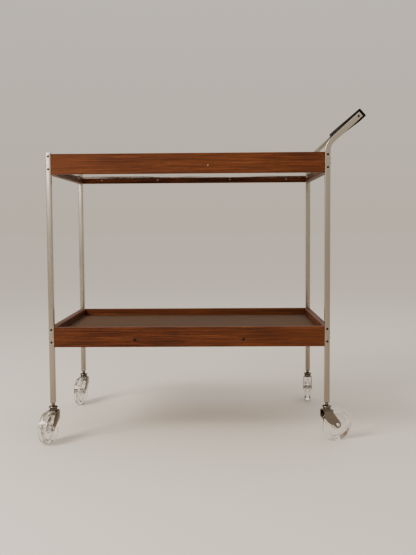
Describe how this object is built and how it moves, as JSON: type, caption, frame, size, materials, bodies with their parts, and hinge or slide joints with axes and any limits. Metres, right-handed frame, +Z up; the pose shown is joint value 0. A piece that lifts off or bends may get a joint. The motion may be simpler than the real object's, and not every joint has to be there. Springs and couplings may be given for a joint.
{
  "type": "heated serving cart",
  "caption": "Two-tier rolling serving cart: walnut-railed heated glass top and lower shelf between square aluminium posts, bent-post push handle, clear swivel caster wheels",
  "frame": {"origin": "on the floor under the middle of the rectangle of the four posts", "axes": "+X along the cart towards the handle, +Y across the cart away from its front, +Z up"},
  "size_m": [0.7752, 0.5454, 0.7911],
  "materials": {
    "walnut": "oiled walnut with straight grain",
    "plain_wood": "plain sanded wood",
    "post_aluminium": "satin drawn tube",
    "handle_black": "ebonised, satin lacquer",
    "dark_steel": "blackened",
    "bright_steel": "bright plated",
    "polished_pan": "polished sheet",
    "hot_glass": "toughened, smoked",
    "gasket_rubber": "heat-proof silicone",
    "element_metal": "resistance ribbon",
    "mica_board": "pressed mica",
    "mineral_wool": "matted fibre",
    "phenolic": "moulded",
    "pin_brass": "plated pins",
    "lead_sleeve": "braided heat-proof sleeve",
    "laminate": "satin laminate",
    "caster_chrome": "bright plated pressing",
    "black_nylon": "moulded",
    "clear_acrylic": "clear polished",
    "bush_steel": "turned"
  },
  "bodies": {
    "cart": {"upper_front_rail": "walnut", "upper_back_rail": "walnut", "upper_left_rail": "walnut", "upper_right_rail": "walnut", "lower_front_rail": "walnut", "lower_back_rail": "walnut", "lower_left_rail": "walnut", "lower_right_rail": "walnut", "ledger_strips_long": "plain_wood", "ledger_strip_left": "plain_wood", "ledger_strip_right": "plain_wood", "lower_battens": "plain_wood", "lower_board": "plain_wood", "post_front_left": "post_aluminium", "post_back_left": "post_aluminium", "post_front_right": "post_aluminium", "post_back_right": "post_aluminium", "tube_end_plugs": "post_aluminium", "handle_bar": "handle_black", "post_screws": "dark_steel", "handle_screws": "dark_steel", "batten_screws": "dark_steel", "pan_screws": "bright_steel", "inlet_screws": "bright_steel", "rail_pin": "bright_steel", "reflector_pan": "polished_pan", "glass_top": "hot_glass", "glass_gasket": "gasket_rubber", "heating_element": "element_metal", "element_board": "mica_board", "insulation_blanket": "mineral_wool", "thermostat": "phenolic", "power_inlet": "phenolic", "inlet_pins": "pin_brass", "inner_leads": "lead_sleeve", "lower_laminate": "laminate", "caster_stems": "caster_chrome", "caster_caps": "caster_chrome", "caster_sockets": "black_nylon"},
    "caster_front_left": {"caster_washer_front_left": "black_nylon", "caster_fork_front_left": "caster_chrome", "caster_axle_front_left": "caster_chrome"},
    "wheel_front_left": {"caster_wheel_front_left": "clear_acrylic", "caster_bush_front_left": "bush_steel"},
    "caster_back_left": {"caster_washer_back_left": "black_nylon", "caster_fork_back_left": "caster_chrome", "caster_axle_back_left": "caster_chrome"},
    "wheel_back_left": {"caster_wheel_back_left": "clear_acrylic", "caster_bush_back_left": "bush_steel"},
    "caster_front_right": {"caster_washer_front_right": "black_nylon", "caster_fork_front_right": "caster_chrome", "caster_axle_front_right": "caster_chrome"},
    "wheel_front_right": {"caster_wheel_front_right": "clear_acrylic", "caster_bush_front_right": "bush_steel"},
    "caster_back_right": {"caster_washer_back_right": "black_nylon", "caster_fork_back_right": "caster_chrome", "caster_axle_back_right": "caster_chrome"},
    "wheel_back_right": {"caster_wheel_back_right": "clear_acrylic", "caster_bush_back_right": "bush_steel"}
  },
  "joints": [
    {"name": "swivel_front_left", "type": "hinge", "parent": "cart", "child": "caster_front_left", "pos_m": [-0.33015, -0.20965, 0.0765], "axis": [0, 0, 1], "continuous": true},
    {"name": "swivel_back_left", "type": "hinge", "parent": "cart", "child": "caster_back_left", "pos_m": [-0.33015, 0.20965, 0.0765], "axis": [0, 0, 1], "continuous": true},
    {"name": "swivel_front_right", "type": "hinge", "parent": "cart", "child": "caster_front_right", "pos_m": [0.33015, -0.20965, 0.0765], "axis": [0, 0, 1], "continuous": true},
    {"name": "swivel_back_right", "type": "hinge", "parent": "cart", "child": "caster_back_right", "pos_m": [0.33015, 0.20965, 0.0765], "axis": [0, 0, 1], "continuous": true},
    {"name": "roll_front_left", "type": "hinge", "parent": "caster_front_left", "child": "wheel_front_left", "pos_m": [-0.33662, -0.2338, 0.0381], "axis": [0.9659, -0.2588, 0], "continuous": true},
    {"name": "roll_back_left", "type": "hinge", "parent": "caster_back_left", "child": "wheel_back_left", "pos_m": [-0.33449, 0.18503, 0.0381], "axis": [0.9848, -0.1736, 0], "continuous": true},
    {"name": "roll_front_right", "type": "hinge", "parent": "caster_front_right", "child": "wheel_front_right", "pos_m": [0.35364, -0.2011, 0.0381], "axis": [-0.342, 0.9397, 0], "continuous": true},
    {"name": "roll_back_right", "type": "hinge", "parent": "caster_back_right", "child": "wheel_back_right", "pos_m": [0.33276, 0.23451, 0.0381], "axis": [-0.9945, 0.1045, 0], "continuous": true}
  ]
}
